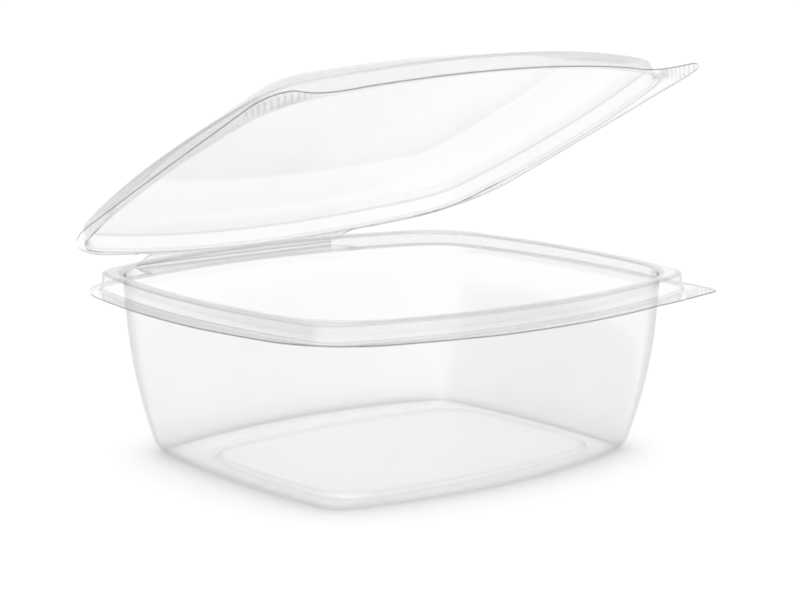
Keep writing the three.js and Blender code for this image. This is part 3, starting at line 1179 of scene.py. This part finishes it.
IMAGE_WIDTH, IMAGE_HEIGHT = 800, 600
SENSOR = 36.0
CLIP_NEAR, CLIP_FAR = 0.01, 60.0
SIDES_ACROSS = (-0.6, 0.6)      # how far across the room its left side fades into its right
BACKDROP_ALONG = (0.35, 0.85)   # how far in front or behind the sides fade into the backdrop
CEILING_HEIGHT = (0.25, 0.75)   # how far up they fade into the ceiling
SEEN_PAST_FLOOR = 1.0


@dataclass
class Studio:
    """The camera at the photograph's angle, a pale floor and soft light.

    Attributes:
        azimuth: Camera's angle round the object, in degrees.
        elevation: Camera's angle above level, in degrees.
        distance: From the camera to the point that it is set by, in millimetres.
        focal_pixels: Focal length in pixels of the 800 by 600 image.
        aim: The point that it is set by, in millimetres.
        aim_pixel: Where that point lies in the image.
        floor_half: Half the width of the floor, in metres.
        backdrop: Brightness of the room in front of and behind the camera.
        left_room: Brightness of its left side.
        right_room: Brightness of its right side.
        overhead: Brightness of its ceiling.
        paper_tone: Share of light that the floor sends back.
        skylight: Place of the soft light from above, which shines from there to the middle.
        skylight_power: Its power.
        skylight_spread: Its spread, in degrees.
    """

    azimuth: float = -39.323
    elevation: float = 10.315
    distance: float = 754.4
    focal_pixels: float = 2229.3
    aim: tuple[float, float, float] = (0.0, -3.25, 35.0)
    aim_pixel: tuple[float, float] = (391.9, 348.6)
    floor_half: float = 30.0
    backdrop: float = 1.05
    left_room: float = 0.05
    right_room: float = 0.72
    overhead: float = 1.08
    paper_tone: float = 0.95
    skylight: tuple[float, float, float] = (0.05, 0.30, 1.7)
    skylight_power: float = 0.45
    skylight_spread: float = 40.0

    def camera(self) -> Piece:
        """Makes the camera and the scene's view of it."""
        a, e = math.radians(self.azimuth), math.radians(self.elevation)
        back = Vector((math.sin(a) * math.cos(e), -math.cos(a) * math.cos(e), math.sin(e)))
        right = Vector((math.cos(a), math.sin(a), 0.0))
        up = back.cross(right)
        per_pixel = self.distance / self.focal_pixels
        place = Vector(self.aim) + back * self.distance
        place -= right * (self.aim_pixel[0] - IMAGE_WIDTH / 2) * per_pixel
        place += up * (self.aim_pixel[1] - IMAGE_HEIGHT / 2) * per_pixel
        data = bpy.data.cameras.new("camera")
        data.sensor_width = SENSOR
        data.lens = SENSOR * self.focal_pixels / IMAGE_WIDTH
        data.clip_start = CLIP_NEAR
        data.clip_end = CLIP_FAR
        camera = linked("camera", data)
        camera.matrix_world = Matrix.Translation(place * MM) @ Matrix((right, up, back)).transposed().to_4x4()
        bpy.context.scene.camera = camera
        return camera

    def floor(self) -> Piece:
        """Makes the pale floor."""
        half = self.floor_half / MM
        corners = half * np.array([(-1.0, -1.0, 0.0), (1.0, -1.0, 0.0), (1.0, 1.0, 0.0), (-1.0, 1.0, 0.0)])
        floor = linked("floor", mesh_of("floor", corners, [], [(0, 1, 2, 3)]))
        floor.data.materials.append(self.paper())
        return floor

    def paper(self) -> bpy.types.Material:
        """The floor's pale paper."""
        mat = bpy.data.materials.new("pale_paper")
        mat.use_nodes = True
        mat.node_tree.nodes.clear()
        tree = Tree(mat.node_tree)
        matt = tree.add("ShaderNodeBsdfDiffuse", {"Color": (self.paper_tone,) * 3 + (1.0,)})
        tree.add("ShaderNodeOutputMaterial", {"Surface": matt.outputs[0]})
        return mat

    def lights(self) -> None:
        """Makes the soft light from above and the even light of the room."""
        data = bpy.data.lights.new("skylight", "SUN")
        data.energy = self.skylight_power
        data.angle = math.radians(self.skylight_spread)
        lamp = linked("skylight", data)
        lamp.location = self.skylight
        lamp.rotation_euler = Vector(self.skylight).to_track_quat("Z", "Y").to_euler()
        bpy.context.scene.world = self.room()

    def room(self) -> bpy.types.World:
        """The light of the room: a white backdrop and a bright ceiling, and darker sides.

        The eye sees plain white past the floor's edge, and only the light and the gloss see the sides.
        """
        world = bpy.data.worlds.new("room")
        world.use_nodes = True
        world.node_tree.nodes.clear()
        tree = Tree(world.node_tree)
        way = tree.add("ShaderNodeTexCoord").outputs["Generated"]
        turn = math.radians(self.azimuth)
        turned = tree.add("ShaderNodeVectorRotate", {"Vector": way, "Angle": -turn}, rotation_type="Z_AXIS")
        across, along, height = tree.add("ShaderNodeSeparateXYZ", {0: turned.outputs[0]}).outputs
        sides = tree.ramp(across, SIDES_ACROSS, (self.left_room, self.right_room))
        sheets = tree.ramp(tree.math("ABSOLUTE", along), BACKDROP_ALONG, (0.0, 1.0))
        level = tree.blend(sheets, sides, self.backdrop)
        level = tree.blend(tree.ramp(height, CEILING_HEIGHT, (0.0, 1.0)), level, self.overhead)
        seen = tree.add("ShaderNodeLightPath").outputs["Is Camera Ray"]
        level = tree.blend(seen, level, SEEN_PAST_FLOOR)
        light = tree.add("ShaderNodeBackground", {"Color": WHITE, "Strength": level})
        tree.add("ShaderNodeOutputWorld", {"Surface": light.outputs[0]})
        return world

    def build(self) -> None:
        """Sets up the whole studio."""
        self.camera()
        self.floor()
        self.lights()
        scene = bpy.context.scene
        scene.view_settings.view_transform = "Standard"
        scene.view_settings.look = "None"
        scene.cycles.transparent_max_bounces = 64
        scene.cycles.max_bounces = 12


def main() -> None:
    """Builds the container over its frame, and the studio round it."""
    logging.basicConfig(level=logging.INFO, format="%(name)s: %(message)s")
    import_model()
    Studio().build()
    sheet, ribs = formed_sheet_tool(), rib_row_tool()
    for assembly in (Tub(), Lid()):
        for piece in assembly.build(sheet, ribs):
            LOG.info("%s: %d faces", piece.name, len(piece.data.polygons))
    film = FoldFilm().build(sheet)
    LOG.info("%s: %d faces", film.name, len(film.data.polygons))


if __name__ == "__main__":
    main()
